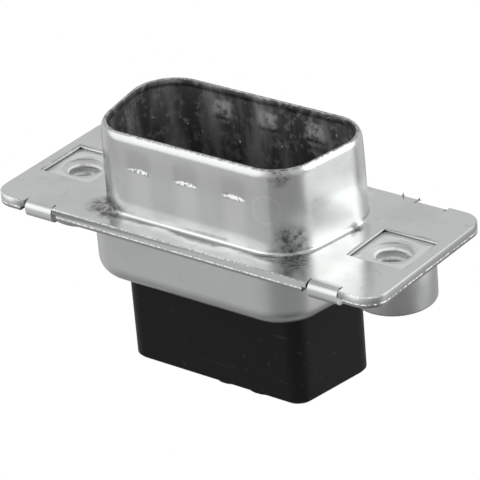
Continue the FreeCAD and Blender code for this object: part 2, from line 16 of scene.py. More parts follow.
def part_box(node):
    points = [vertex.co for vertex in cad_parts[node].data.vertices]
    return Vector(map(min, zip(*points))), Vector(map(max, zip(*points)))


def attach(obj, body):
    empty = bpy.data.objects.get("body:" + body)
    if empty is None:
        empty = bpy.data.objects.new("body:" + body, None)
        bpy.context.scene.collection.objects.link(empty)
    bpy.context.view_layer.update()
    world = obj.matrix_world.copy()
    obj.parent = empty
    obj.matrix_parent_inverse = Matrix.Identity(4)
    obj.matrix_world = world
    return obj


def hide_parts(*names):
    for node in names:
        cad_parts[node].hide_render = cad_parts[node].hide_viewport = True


bl_info = {
    "name": "Plug housing looks",
    "version": (1, 0, 0),
    "blender": (4, 5, 0),
    "location": "3D View > Sidebar > Plug housing",
    "description": "Finishes, threads and small marks of a nine-way plug housing",
    "category": "Object",
}

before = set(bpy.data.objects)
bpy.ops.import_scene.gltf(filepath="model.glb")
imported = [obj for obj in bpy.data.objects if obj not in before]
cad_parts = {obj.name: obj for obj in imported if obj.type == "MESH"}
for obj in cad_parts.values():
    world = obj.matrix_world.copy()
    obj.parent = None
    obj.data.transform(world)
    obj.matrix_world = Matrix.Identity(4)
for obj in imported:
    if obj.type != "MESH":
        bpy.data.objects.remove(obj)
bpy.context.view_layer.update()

MM = 0.001
BODY = "root"

# Thickness of the sheets, distance within which places are one, and the least upright part of
# a flat face's normal
SHEET = 0.4 * MM
TOUCH = 0.01 * MM
FLAT = 0.9999

# Fineness of the meshes
CORNER_STEPS = 20
BEND_STEPS = 6
CURL_STEPS = 12
STATION_GAP = 0.12 * MM
OUTER_GAP = 0.06 * MM
INNER_GAP = 0.14 * MM
AROUND = 96
ALONG = 90

# Tones of the tin's marks and of the light and shade painted on it, in the order in which they lie
# over each other
# Painted highlight on the wall below each dimple
BELOW_DIMPLE_HIGHLIGHT = (0.78, 0.785, 0.775)
# Painted shade along each dimple's torn ledge
LEDGE_SHADE = (0.12, 0.12, 0.118)
# Tone of the rubbed ring, and of the painted highlights along the cut edges
RUB_AND_GLINT_LINE = (0.85, 0.86, 0.85)
# Painted reflection on the flange strip in front of the long walls, and a painted dark streak in
# it
STRIP_REFLECTION = (0.9, 0.9, 0.89)
STRIP_DARK_REFLECTION = (0.2, 0.2, 0.197)
DULL_LIP = (0.13, 0.13, 0.128)
# Painted highlight on the lower part of the hood's end walls
END_FOOT_HIGHLIGHT = (0.86, 0.87, 0.86)
# Painted shade on the ends of the rear shell's cup
CUP_END_SHADE = (0.3, 0.305, 0.3)
# Painted shade at the hood's corners
CORNER_SHADE = (0.04, 0.04, 0.038)
# Cut edges, painted darker where they face the ends than where they face the sides, as painted
# shade
CUT_SIDE_LIT = (0.52, 0.535, 0.53)
CUT_END_SHADED = (0.3, 0.31, 0.305)
CUT_REAR = (0.16, 0.16, 0.157)
INSIDE_DARK = (0.18, 0.182, 0.18)
INSIDE_PALE = (0.66, 0.665, 0.655)
INSIDE_MOTTLE = (0.8, 0.8, 0.79)
# Rubbed dimple bumps inside the hood, with a painted highlight on their up-facing ramps
INSIDE_DIMPLE = (0.9, 0.9, 0.89)
DUST = (0.85, 0.85, 0.84)

# Tones on the block and the inserts
BLOCK_DUST = (0.2, 0.2, 0.19)
INSERT_FLECK = (0.28, 0.287, 0.282)
# Painted light on the insert's head and in its threaded hole, and painted highlights on the
# thread's crests
LIT_HEAD_TIN = (0.68, 0.695, 0.69)
THREAD_LIT_ROOT = (0.62, 0.63, 0.625)
THREAD_CREST_HIGHLIGHT = (0.94, 0.95, 0.94)

# Level of the empty background that the camera sees
BACKDROP = 0.95

# Soft lights and dark screens round the housing: direction, inner and outer angle in degrees,
# and brightness
LIGHT_PATCHES = (
    ((-0.556, -0.70, 0.29), 15, 43, 1.05),
    ((0.754, 0.462, 0.32), 18, 26, 2.5),
    ((0.787, 0.401, -0.468), 20, 23, 0.6),
    ((-0.556, -0.688, -0.468), 22, 50, -0.12),
    ((0.636, -0.614, -0.469), 34, 39, -0.22),
    ((0.636, -0.614, -0.469), 20, 56, -0.18),
    ((0.556, 0.688, -0.468), 5, 15, -0.3),
    ((-0.314, -0.389, 0.866), 8, 22, -0.7),
    ((-0.556, 0.688, -0.468), 8, 32, -0.5),
    ((0.0, 0.0, -1.0), 25, 55, -0.45),
)

# Painted shade on the front shell, in millimetres: place from the middle of the hood's foot, and
# how far each reaches in full and at all
PAINTED_DARK_CORNERS = (
    ((-7.35, -3.6, 1.2), 0.5, 1.6),
    ((-7.3, -4.1, 0.0), 0.7, 1.7),
    ((-6.5, -4.75, 0.1), 0.4, 1.2),
    ((7.5, -3.8, 1.0), 0.5, 1.5),
    ((7.9, -4.25, 0.0), 0.5, 1.4),
    ((8.5, -4.8, 0.0), 0.4, 1.1),
    ((7.1, -4.1, 5.5), 0.3, 1.0),
    ((9.1, 0.9, 0.1), 0.2, 0.6),
)

# Burrs on the flange's far edge, in millimetres: place along it and height
BURRS = ((9.1, 0.3), (10.35, 0.24))

# Nubs on the lower edge of the block's near side, in millimetres: start and end along it
NUBS = ((0.1, 1.2), (2.7, 4.0))

# The lip's inside, in millimetres: out from the mouth and down from the rim
LIP_INSIDE = ((0.03, 0.0), (0.008, 0.008), (0.0, 0.03), (0.0, 0.3), (0.02, 0.38), (0.06, 0.45),
              (0.1, 0.56))

# A nub's outline along the edge: share of its length and how far it stands out in millimetres
NUB_SHAPE = ((0.0, 0.0), (0.12, 0.07), (0.35, 0.12), (0.7, 0.1), (1.0, 0.0))

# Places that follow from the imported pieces; the front shell's flange lies on the rear one's
SHELL_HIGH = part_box("front_shell")[1]
INSERT_LOW, INSERT_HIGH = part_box("threaded_insert_right")
RIM = SHELL_HIGH.z
FLANGE_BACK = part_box("rear_shell")[1].z
FLANGE_FRONT = FLANGE_BACK + SHEET
INSERT_MIDDLE = (INSERT_LOW.x + INSERT_HIGH.x) / 2
BARREL = (INSERT_HIGH.x - INSERT_LOW.x) / 2

# Heights above the flange's front: the dimples' ledges and the top of their ramps
LEDGE = 3.52 * MM
DIMPLE_TOP = 5.1 * MM

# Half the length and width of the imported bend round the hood, and of the flange inside its edges
BEND_LONG, BEND_WIDE = 9.4 * MM, 5.3 * MM
EDGE_LONG, EDGE_WIDE = 9.9 * MM, 5.9 * MM

# Folded tabs: how far their middles lie inwards of the inserts' axes, and half their width
TAB_OFFSET = 1.065 * MM
TAB_HALF = 1.1 * MM

# A faint ring on the hood's near side and a faint stain on the block's right end
RING_MARK = (6.2 * MM, -4.6 * MM, FLANGE_FRONT + 3.15 * MM)
RING_RADIUS = 0.95 * MM
STAIN_MARK = (8.4 * MM, -0.1 * MM, 4.2 * MM)

# Insert: half its square head, the neck's radius, the barrel's rounded edge, room at the seats
HEAD_HALF = 1.985 * MM
NECK = 1.8 * MM
BARREL_EDGE = 0.24 * MM
SEAT_GAP = 0.002 * MM

# Shares of half a turn's rise that the thread's flat root and its flank take
ROOT_SHARE = 0.1
FLANK_SHARE = 0.78


# Sizes and colours that a user would change

class ShellFinish(PropertyGroup):
    """Tin plate on the two drawn shells."""
    tin: FloatVectorProperty(
        name="Tin", description="Colour of the clean tin plate", subtype="COLOR",
        size=3, min=0.0, max=1.0, default=(0.555, 0.57, 0.565))
    stain: FloatVectorProperty(
        name="Stain", description="Colour of dull, handled tin", subtype="COLOR",
        size=3, min=0.0, max=1.0, default=(0.36, 0.36, 0.35))
    gloss: FloatProperty(
        name="Roughness", description="Roughness of the clean tin", min=0.0, max=1.0,
        default=0.17)


class HoodSizes(PropertyGroup):
    """Drawn hood of the front shell; heights are above the flange's front."""
    mouth_long: FloatProperty(
        name="Mouth length", description="Length of the mouth along the wide side",
        subtype="DISTANCE", default=16.92 * MM)
    mouth_wide: FloatProperty(
        name="Mouth width", description="Width of the mouth", subtype="DISTANCE",
        default=8.36 * MM)
    corner: FloatProperty(
        name="Mouth corner", description="Corner radius of the mouth", subtype="DISTANCE",
        default=2.6 * MM)
    slant: FloatProperty(
        name="Side slant", description="Lean of the short sides", subtype="ANGLE",
        default=math.radians(10.0))
    wall: FloatProperty(
        name="Wall place", description="Outside of the wall at its foot, out from the mouth",
        subtype="DISTANCE", default=0.5 * MM)
    draft: FloatProperty(
        name="Draft", description="Lean of the walls", subtype="ANGLE",
        default=math.radians(1.0))
    foot: FloatProperty(
        name="Foot radius", description="Radius where the wall leaves the flange",
        subtype="DISTANCE", default=0.24 * MM)
    curl: FloatProperty(
        name="Curl radius", description="Outer radius of the curl at the rim",
        subtype="DISTANCE", default=0.85 * MM)
    curl_turn: FloatProperty(
        name="Curl turn", description="Angle that the curl turns inwards", subtype="ANGLE",
        default=math.radians(42.0))
    curl_lead: FloatProperty(
        name="Curl lead", description="Height below the curl over which the wall starts to lean",
        subtype="DISTANCE", default=1.5 * MM)
    dimple_pitch: FloatProperty(
        name="Dimple pitch", description="Distance between dimples", subtype="DISTANCE",
        default=3.8 * MM)
    dimple_depth: FloatProperty(
        name="Dimple depth", description="Depth of a dimple at its ledge",
        subtype="DISTANCE", default=0.1 * MM)


class BlockFinish(PropertyGroup):
    """Black moulded insulator."""
    black: FloatVectorProperty(
        name="Black", description="Colour of the moulding", subtype="COLOR",
        size=3, min=0.0, max=1.0, default=(0.006, 0.0063, 0.0066))
    gloss: FloatProperty(
        name="Roughness", description="Roughness of the moulded skin", min=0.0, max=1.0,
        default=0.42)


class InsertSizes(PropertyGroup):
    """Turned insert with a cut thread."""
    major: FloatProperty(
        name="Major diameter", description="Diameter at the root of the thread",
        subtype="DISTANCE", default=2.85 * MM)
    minor: FloatProperty(
        name="Minor diameter", description="Diameter over the crests of the thread",
        subtype="DISTANCE", default=2.2 * MM)
    pitch: FloatProperty(
        name="Pitch", description="Rise of the thread in one turn", subtype="DISTANCE",
        default=0.635 * MM)
    mouth: FloatProperty(
        name="Mouth diameter", description="Diameter of the bevel at each end of the hole",
        subtype="DISTANCE", default=2.9 * MM)
    dull: FloatVectorProperty(
        name="Dull tin", description="Colour of the turned and plated insert",
        subtype="COLOR", size=3, min=0.0, max=1.0, default=(0.3, 0.307, 0.302))


class StageLook(PropertyGroup):
    """Floor, light and camera."""
    floor: FloatVectorProperty(
        name="Floor", description="Colour of the plain floor", subtype="COLOR",
        size=3, min=0.0, max=1.0, default=(1.0, 1.0, 1.0))
    reach: FloatProperty(
        name="Floor reach", description="Half the length of the floor's side",
        subtype="DISTANCE", default=3.0)
    dome: FloatProperty(
        name="Dome light", description="Brightness of the plain dome", min=0.0, default=0.85)
    lens: FloatProperty(
        name="Lens", description="Focal length of the camera in millimetres", default=231.8748)
    place: FloatVectorProperty(
        name="Camera place", description="Where the camera stands", subtype="TRANSLATION",
        size=3, default=(0.112254, -0.138551, 0.103231))
    turn: FloatVectorProperty(
        name="Camera turn", description="How the camera is turned", subtype="EULER",
        size=3, default=tuple(math.radians(a) for a in (62.03495, 4.36534, 36.62742)))


# Node trees

class Tree:
    """Adds nodes to one tree and feeds their inputs with values or other nodes' outputs."""

    def __init__(self, tree):
        self.tree = tree
        tree.nodes.clear()

    def add(self, kind, inputs=None, **settings):
        """A new node; inputs gives each socket, by name or number, a value or an output."""
        node = self.tree.nodes.new(kind)
        for key, value in settings.items():
            setattr(node, key, value)
        for key, value in (inputs or {}).items():
            self.feed(node.inputs[key], value)
        return node

    def feed(self, socket, value):
        """Link an output to a socket, or set its value."""
        if isinstance(value, bpy.types.NodeSocket):
            self.tree.links.new(value, socket)
        else:
            socket.default_value = value

    def math(self, operation, *values):
        """The output of a Math node."""
        node = self.add("ShaderNodeMath", dict(enumerate(values)), operation=operation)
        return node.outputs[0]

    def step(self, value, low, high):
        """Zero below low, one above high, smooth between; low may be the larger."""
        node = self.add("ShaderNodeMapRange", {
            "Value": value, "From Min": low, "From Max": high, "To Min": 0.0, "To Max": 1.0,
        }, interpolation_type="SMOOTHSTEP")
        return node.outputs["Result"]

    def mix(self, factor, first, second):
        """A colour between two."""
        node = self.add("ShaderNodeMix", data_type="RGBA")
        self.feed(node.inputs["Factor"], factor)
        self.feed(node.inputs[6], opaque(first))
        self.feed(node.inputs[7], opaque(second))
        return node.outputs[2]

    def between(self, factor, first, second):
        """A number between two."""
        node = self.add("ShaderNodeMix", data_type="FLOAT")
        self.feed(node.inputs["Factor"], factor)
        self.feed(node.inputs[2], first)
        self.feed(node.inputs[3], second)
        return node.outputs[0]

    def near(self, place, centre, inner, outer):
        """One within the inner distance of a point and zero beyond the outer one."""
        return self.step(self.distance(place, centre), outer, inner)

    def distance(self, place, other):
        """How far two places are apart."""
        node = self.add("ShaderNodeVectorMath", {0: place, 1: other}, operation="DISTANCE")
        return node.outputs["Value"]

    def split(self, vector):
        """The three parts of a place or a direction."""
        return self.add("ShaderNodeSeparateXYZ", {0: vector}).outputs

    def apart(self, value, other):
        """How far two numbers are apart."""
        return self.math("ABSOLUTE", self.math("SUBTRACT", value, other))

    def fold(self, operation, values):
        """One operation over some numbers, from the first to the last."""
        result = values[0]
        for value in values[1:]:
            result = self.math(operation, result, value)
        return result

    def both(self, *values):
        """The product of some numbers."""
        return self.fold("MULTIPLY", values)

    def total(self, *values):
        """The sum of some numbers."""
        return self.fold("ADD", values)

    def most(self, *values):
        """The largest of some numbers."""
        return self.fold("MAXIMUM", values)

    def noise(self, place, scale, detail=3.0, rough=0.5, stretch=(1.0, 1.0, 1.0)):
        """Noise over a place, stretched along the axes; scale is in features per metre."""
        spread = self.add("ShaderNodeMapping", {"Vector": place, "Scale": stretch})
        node = self.add("ShaderNodeTexNoise", {
            "Vector": spread.outputs[0], "Scale": scale, "Detail": detail, "Roughness": rough,
        })
        return node.outputs[0]


def opaque(colour):
    """A colour with an alpha of one, or an output as it is."""
    if isinstance(colour, bpy.types.NodeSocket):
        return colour
    return (*tuple(colour)[:3], 1.0)


def new_material(name):
    """An empty material and its tree."""
    material = bpy.data.materials.new(name)
    material.use_nodes = True
    return material, Tree(material.node_tree)


def finish_material(tree, inputs):
    """End a material in one Principled shader."""
    shader = tree.add("ShaderNodeBsdfPrincipled", inputs)
    tree.add("ShaderNodeOutputMaterial", {"Surface": shader.outputs[0]})


def new_group(name, tree_kind, inputs, outputs):
    """A node group, its tree and its inputs; both sides give names of sockets by kind."""
    group = bpy.data.node_groups.new(name, tree_kind)
    for side, sockets in (("INPUT", inputs), ("OUTPUT", outputs)):
        for kind, names in sockets.items():
            for socket_name in names:
                group.interface.new_socket(socket_name, in_out=side,
                                           socket_type="NodeSocket" + kind)
    tree = Tree(group)
    return group, tree, tree.add("NodeGroupInput").outputs


def worn_surface_group():
    """Clouds, flecks, grain and scratches that every finish of this housing uses."""
    group, tree, given = new_group(
        "worn_surface", "ShaderNodeTree", {"Float": ("Fleck Scale", "Scratches")},
        {"Float": ("Cloud", "Fleck", "Grain", "Scratch")})
    place = tree.add("ShaderNodeTexCoord").outputs["Object"]
    along = tree.noise(place, 900.0, 2.0, 0.5, (0.12, 2.4, 2.4))
    across = tree.noise(place, 900.0, 2.0, 0.5, (2.4, 0.12, 2.4))
    lines = tree.most(tree.step(along, 0.66, 0.74), tree.step(across, 0.68, 0.76))
    tree.add("NodeGroupOutput", {
        "Cloud": tree.noise(place, 170.0, 3.0, 0.55),
        "Fleck": tree.noise(place, given["Fleck Scale"], 4.0, 0.6),
        "Grain": tree.noise(place, 5200.0, 2.0, 0.5),
        "Scratch": tree.both(lines, given["Scratches"]),
    })
    return group


def worn_surface(tree, fleck_scale, scratches):
    """Place the shared wear group in a material and give its outputs."""
    group = bpy.data.node_groups.get("worn_surface") or worn_surface_group()
    return tree.add("ShaderNodeGroup", {"Fleck Scale": fleck_scale, "Scratches": scratches},
                    node_tree=group).outputs


def dress(node_name, material):
    """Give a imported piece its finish."""
    for material_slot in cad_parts[node_name].material_slots:
        material_slot.material = material


# Finishes

class Spot:
    """Where a point of the metal lies and which way it faces, as outputs of one tree.

    Distances along and across the flange and slants to its end and side have no sign.
    """

    def __init__(self, tree):
        self.place = tree.add("ShaderNodeTexCoord").outputs["Object"]
        self.x, self.y, self.z = tree.split(self.place)
        normal = tree.add("ShaderNodeNewGeometry").outputs["Normal"]
        self.out_x, self.out_y, self.out_z = tree.split(normal)
        self.along = tree.math("ABSOLUTE", self.x)
        self.wide = tree.math("ABSOLUTE", self.y)
        self.above = tree.math("SUBTRACT", self.z, FLANGE_FRONT)
        self.to_end = tree.math("ABSOLUTE", self.out_x)
        self.to_side = tree.math("ABSOLUTE", self.out_y)


def tin_plate(name, look, pitch, painted_shade=1.0, dulled=0.0):
    """Bright tin on drawn steel with painted highlights, reflections and shade, a dull scuffed
    inside and grey cut edges.
    """
    material, tree = new_material(name)
    wear = worn_surface(tree, 1100.0, 0.5)
    spot = Spot(tree)
    marks = {
        "inside": hood_inside(tree, spot), "dark": dark_corners(tree, spot),
        "ring": ring_mark(tree, spot), **pressed_marks(tree, spot, pitch),
        **foot_and_lip(tree, spot), **end_marks(tree, spot), **cut_edge(tree, spot),
    }
    tone = handled_tin(tree, look, painted_shade, wear, spot)
    tone = marked_tin(tree, tone, look.stain, spot, marks)
    inner_tone, dust = scuffed_inside(tree, spot, pitch)
    # The painted highlights on the edges are white and not metallic, and so is the dust inside
    bare = tree.most(marks["glint"], tree.both(marks["inside"], dust))
    height = tree.total(tree.both(wear["Fleck"], 0.5), tree.both(wear["Grain"], 0.1),
                        tree.both(tree.noise(spot.place, 420.0, 1.0, 0.5), 0.8),
                        tree.both(marks["dark"], 1.2))
    finish_material(tree, {
        "Base Color": tree.mix(marks["inside"], tone, inner_tone),
        "Roughness": tin_roughness(tree, look.gloss + dulled, wear, spot, marks),
        "Normal": bumped(tree, height, 0.014 * MM),
        "Metallic": tree.math("SUBTRACT", 1.0, bare),
    })
    return material


def bumped(tree, height, depth):
    """The normal that a height of this depth gives."""
    return tree.add("ShaderNodeBump", {
        "Height": height, "Strength": 1.0, "Distance": depth}).outputs[0]


def handled_tin(tree, look, painted_shade, wear, spot):
    """Tone of the clean tin, darkened as a whole by the given painted shade, with its dull clouds
    and flecks, and with painted shade that darkens it towards the rim.
    """
    tone = [painted_shade * part for part in look.tin]
    for mask, amount in ((tree.step(wear["Cloud"], 0.42, 0.72), 0.3),
                         (tree.step(wear["Fleck"], 0.58, 0.7), 0.22),
                         # Painted shade that darkens the tin towards the rim
                         (tree.step(spot.above, 2.2 * MM, 4.4 * MM), 0.25)):
        tone = tree.mix(tree.both(mask, amount), tone, look.stain)
    return tone


def marked_tin(tree, tone, stain, spot, marks):
    """Tone of the tin under its marks, its painted highlights, reflections and shade, and on its
    cut edges, each over the ones before it.
    """
    # Painted shade by facing: cut edges that face the ends are darker than those that face the
    # sides
    cut = tree.mix(tree.step(spot.to_end, 0.5, 0.9), CUT_SIDE_LIT, CUT_END_SHADED)
    # Rows: painted highlight below the dimples, painted shade in their recesses and along their
    # ledges, the rubbed ring, painted reflections on the strip, the dull lip, painted highlight on
    # the end walls' feet, painted shade on the cup's ends and at the corners, the cut edges, the
    # rear sheet's edge, and painted highlights along the edges
    for mark, amount, layer in (
            ("dimple_highlight", 0.3, BELOW_DIMPLE_HIGHLIGHT), ("recess", 0.3, stain), ("ledge", 0.8, LEDGE_SHADE),
            ("ring", 0.16, RUB_AND_GLINT_LINE), ("strip", 0.7, STRIP_REFLECTION),
            ("streak", 0.9, STRIP_DARK_REFLECTION), ("lip", 0.8, DULL_LIP),
            ("end foot", 0.45, END_FOOT_HIGHLIGHT), ("cup end", 0.9, CUP_END_SHADE),
            ("dark", 1.0, CORNER_SHADE), ("sheared", 1.0, cut), ("rear edge", 0.7, CUT_REAR),
            ("glint", 1.0, RUB_AND_GLINT_LINE)):
        tone = tree.mix(tree.both(marks[mark], amount), tone, layer)
    return tone


def tin_roughness(tree, clean, wear, spot, marks):
    """Roughness of the tin: flecked, blurred on the end walls, dull on marks and edges."""
    rough = tree.between(wear["Fleck"], clean - 0.06, clean + 0.08)
    foot = tree.step(spot.above, 3.0 * MM, 1.8 * MM)
    blurred = tree.total(tree.both(foot, 0.13), 0.07)
    rough = tree.total(rough, tree.both(wear["Scratch"], 0.03),
                       tree.both(marks["end wall"], blurred))
    worn = tree.most(marks["dark"], marks["sheared"], marks["ledge"])
    for mask, level in ((worn, 0.36), (marks["inside"], 0.5), (marks["tab"], 0.34)):
        rough = tree.between(mask, rough, level)
    return rough


def from_dimple(tree, spot, pitch):
    """Distance along the wall from the nearest dimple."""
    turns = tree.total(tree.math("DIVIDE", spot.x, pitch), 10.5)
    return tree.both(tree.apart(tree.math("FRACT", turns), 0.5), pitch)


def pressed_marks(tree, spot, pitch):
    """Masks of the painted highlight below each dimple, the painted shade in its recess and the
    painted shade along its torn ledge.
    """
    away = from_dimple(tree, spot, pitch)
    wall = tree.both(tree.step(spot.along, 5.4 * MM, 5.0 * MM),
                     tree.step(spot.wide, 4.3 * MM, 4.4 * MM))
    # Painted highlight on the wall below each dimple's ledge
    dimple_highlight = tree.both(wall, tree.step(away, 1.35 * MM, 0.3 * MM),
                     tree.step(spot.above, LEDGE - 0.02 * MM, LEDGE - 0.32 * MM),
                     tree.step(spot.above, 0.2 * MM, 0.8 * MM))
    # Painted shade in the recess above each ledge, in the stain's colour
    recess = tree.both(wall, tree.step(away, 1.3 * MM, 0.6 * MM),
                       tree.step(spot.above, LEDGE - 0.02 * MM, LEDGE + 0.18 * MM),
                       tree.step(spot.above, DIMPLE_TOP, 4.0 * MM))
    # Painted shade along the ledge, broken where its edge is torn
    torn = tree.step(tree.noise(spot.place, 4200.0, 4.0, 0.7), 0.5, 0.6)
    ledge = tree.both(wall, tree.step(away, 0.95 * MM, 0.75 * MM),
                      tree.step(tree.apart(spot.above, LEDGE), 0.22 * MM, 0.1 * MM), torn)
    return {"dimple_highlight": dimple_highlight, "recess": recess, "ledge": ledge}


def ring_mark(tree, spot):
    """Mask of the thin ring on the hood's near side."""
    away = tree.distance(spot.place, RING_MARK)
    return tree.step(tree.apart(away, RING_RADIUS), 0.07 * MM, 0.02 * MM)


def foot_and_lip(tree, spot):
    """Masks of the painted reflection on the strip in front of the long wall's foot, of the
    painted dark streak in it, and of the dull lip.
    """
    sway = tree.math("SUBTRACT", tree.noise(spot.place, 420.0, 3.0, 0.6), 0.5)
    strip_reach = tree.total(spot.wide, tree.both(sway, 1.4 * MM))
    # Painted reflection of the wall on the flange strip in front of its foot
    strip = tree.both(tree.step(spot.wide, 4.8 * MM, 4.95 * MM),
                      tree.step(strip_reach, 5.75 * MM, 4.95 * MM),
                      tree.step(spot.along, 7.6 * MM, 6.6 * MM),
                      tree.step(tree.math("ABSOLUTE", spot.above), 0.08 * MM, 0.04 * MM))
    # Painted dark reflection streaking through the strip
    streak_reach = tree.total(spot.wide, tree.both(sway, 0.9 * MM))
    wavy = tree.step(tree.noise(spot.place, 1100.0, 2.0, 0.5, (0.45, 1.0, 1.0)), 0.7, 0.44)
    streak = tree.both(strip, tree.step(streak_reach, 5.5 * MM, 5.0 * MM), wavy)
    mottle = tree.step(tree.noise(spot.place, 2300.0, 4.0, 0.7), 0.36, 0.6)
    lip = tree.both(tree.step(spot.z, RIM - 0.1 * MM, RIM - 0.04 * MM), mottle)
    return {"strip": strip, "streak": streak, "lip": lip}


def end_marks(tree, spot):
    """Masks of the hood's slanted end walls, of their feet with a painted highlight, and of the
    cup's ends with painted shade.
    """
    wall = tree.both(tree.step(spot.to_end, 0.6, 0.8), tree.step(spot.above, 0.2 * MM, 0.5 * MM))
    # Painted highlight on the feet of the end walls
    foot = tree.both(wall, tree.step(spot.above, 3.4 * MM, 2.2 * MM))
    # Painted shade on the ends of the cup
    cup = tree.both(tree.step(spot.along, 8.0 * MM, 8.8 * MM),
                    tree.step(spot.above, -0.9 * MM, -1.2 * MM))
    return {"end wall": wall, "end foot": foot, "cup end": cup}


def hood_inside(tree, spot):
    """Mask of the faces that look towards the middle of the hood or the cup."""
    outward = tree.total(tree.both(spot.x, spot.out_x), tree.both(spot.y, spot.out_y))
    return tree.both(tree.step(outward, -0.2 * MM, -1.0 * MM),
                     tree.step(spot.z, FLANGE_BACK + 0.2 * MM, FLANGE_BACK + 0.6 * MM),
                     tree.step(spot.z, RIM - 0.01 * MM, RIM - 0.05 * MM))


def cut_edge(tree, spot):
    """Masks of the folded tabs, the sheets' sheared edges and the broken painted highlights along
    them.
    """
    outer = tree.most(tree.step(spot.wide, EDGE_WIDE, EDGE_WIDE + 0.1 * MM),
                      tree.step(spot.along, EDGE_LONG, EDGE_LONG + 0.1 * MM))
    from_tab = tree.apart(spot.along, INSERT_MIDDLE - TAB_OFFSET)
    tab = tree.both(tree.step(from_tab, TAB_HALF + 0.02 * MM, TAB_HALF),
                    tree.step(spot.wide, 5.5 * MM, 5.6 * MM))
    rear_back = FLANGE_BACK - SHEET
    sheared = tree.both(outer, tree.math("SUBTRACT", 1.0, tab),
                        tree.step(tree.math("ABSOLUTE", spot.out_z), 0.9, 0.6),
                        tree.step(spot.z, rear_back - 0.1 * MM, rear_back - 0.05 * MM),
                        tree.step(spot.above, 0.04 * MM, 0.01 * MM))
    # Painted highlights along the top of the front sheet and low on the rear sheet's edge, broken
    # by noise
    upper, lower = [tree.step(tree.apart(spot.z, level), 0.06 * MM, 0.025 * MM)
                    for level in (FLANGE_FRONT - 0.03 * MM, FLANGE_BACK - 0.14 * MM)]
    upper = tree.both(upper, tree.step(spot.to_side, 0.3, 0.7))
    broken = tree.step(tree.noise(spot.place, 4600.0, 2.0, 0.6), 0.42, 0.56)
    rear = tree.step(spot.z, FLANGE_BACK - 0.17 * MM, FLANGE_BACK - 0.22 * MM)
    return {"tab": tab, "sheared": sheared, "rear edge": tree.both(sheared, rear),
            "glint": tree.both(sheared, tree.most(upper, lower), broken)}


def dark_corners(tree, spot):
    """Mask of the painted shade at the hood's corners, broken into a mottle."""
    foot = Vector((0, 0, FLANGE_FRONT))
    marks = [tree.near(spot.place, foot + Vector(centre) * MM, inner * MM, outer * MM)
             for centre, inner, outer in PAINTED_DARK_CORNERS]
    mottle = tree.step(tree.noise(spot.place, 2600.0, 6.0, 0.75), 0.4, 0.62)
    grain = tree.total(tree.both(mottle, 0.64), 0.22)
    return tree.both(tree.most(*marks), grain)


def scuffed_inside(tree, spot, pitch):
    """Colour of the dull inside of the hood and the mask of its pale dust."""
    streak = tree.noise(spot.place, 430.0, 4.0, 0.6, (1.0, 1.0, 0.2))
    mottle = tree.noise(spot.place, 1500.0, 6.0, 0.7)
    tone = tree.mix(tree.step(streak, 0.42, 0.66), INSIDE_DARK, INSIDE_PALE)
    tone = tree.mix(tree.both(tree.step(mottle, 0.5, 0.66), 0.65), tone, INSIDE_MOTTLE)
    # The bumps inside are paler: rubbed where they make contact, and with a painted highlight on
    # their up-facing ramps
    pressed = tree.both(tree.step(from_dimple(tree, spot, pitch), 1.0 * MM, 0.65 * MM),
                        tree.step(tree.apart(spot.above, 4.0 * MM), 0.95 * MM, 0.6 * MM),
                        tree.step(spot.along, 5.3 * MM, 4.9 * MM),
                        tree.step(mottle, 0.36, 0.54))
    tone = tree.mix(tree.both(pressed, 0.85), tone, INSIDE_DIMPLE)
    speck = tree.noise(spot.place, 2600.0, 2.0, 0.5)
    dust = tree.both(tree.step(speck, 0.69, 0.73), 0.8)
    return tree.mix(dust, tone, DUST), dust


def black_moulding(name, look):
    """Satin black moulding with a fine skin, pale specks and one faint stain."""
    material, tree = new_material(name)
    wear = worn_surface(tree, 1500.0, 0.5)
    place = tree.add("ShaderNodeTexCoord").outputs["Object"]
    tone = look.black
    for mask, amount in ((tree.step(wear["Grain"], 0.72, 0.78), 0.2), (wear["Scratch"], 0.12),
                         (tree.near(place, STAIN_MARK, 0.35 * MM, 0.75 * MM), 0.12)):
        tone = tree.mix(tree.both(mask, amount), tone, BLOCK_DUST)
    height = tree.total(tree.both(wear["Fleck"], 0.6), tree.both(wear["Grain"], 0.4))
    finish_material(tree, {
        "Base Color": tone, "Specular IOR Level": 0.07,
        "Roughness": tree.between(wear["Cloud"], look.gloss - 0.08, look.gloss + 0.12),
        "Normal": bumped(tree, height, 0.006 * MM),
    })
    return material


def dull_tin(name, look):
    """Dull tin on the turned inserts, with painted light on the riveted head and in the threaded
    hole, and painted highlights on the thread's crests.
    """
    material, tree = new_material(name)
    wear = worn_surface(tree, 1300.0, 0.4)
    x, y, z = tree.split(tree.add("ShaderNodeTexCoord").outputs["Object"])
    tone = tree.mix(tree.step(wear["Fleck"], 0.45, 0.7), look.dull, INSERT_FLECK)
    # The head is painted paler than the barrel, as painted light on its top
    head = tree.step(z, FLANGE_BACK - 0.1 * MM, FLANGE_BACK + 0.05 * MM)
    tone = tree.mix(head, tone, LIT_HEAD_TIN)
    sideways = tree.math("SUBTRACT", tree.math("ABSOLUTE", x), INSERT_MIDDLE)
    from_axis = tree.math("SQRT", tree.total(tree.both(sideways, sideways), tree.both(y, y)))
    # The threaded hole is painted pale and made mostly diffuse, as painted light against its
    # shade, with painted highlights on the crests
    lit_bore = tree.step(from_axis, 1.52 * MM, 1.46 * MM)
    crest = tree.both(tree.step(from_axis, 1.28 * MM, 1.14 * MM),
                      tree.step(wear["Fleck"], 0.36, 0.5))
    tone = tree.mix(lit_bore, tone, tree.mix(crest, THREAD_LIT_ROOT, THREAD_CREST_HIGHLIGHT))
    height = tree.total(tree.both(wear["Fleck"], 0.7), tree.both(wear["Grain"], 0.3))
    finish_material(tree, {
        "Base Color": tone, "Metallic": tree.between(lit_bore, 0.85, 0.2), "Roughness": 0.38,
        "Normal": bumped(tree, height, 0.012 * MM),
    })
    return material


# Front shell

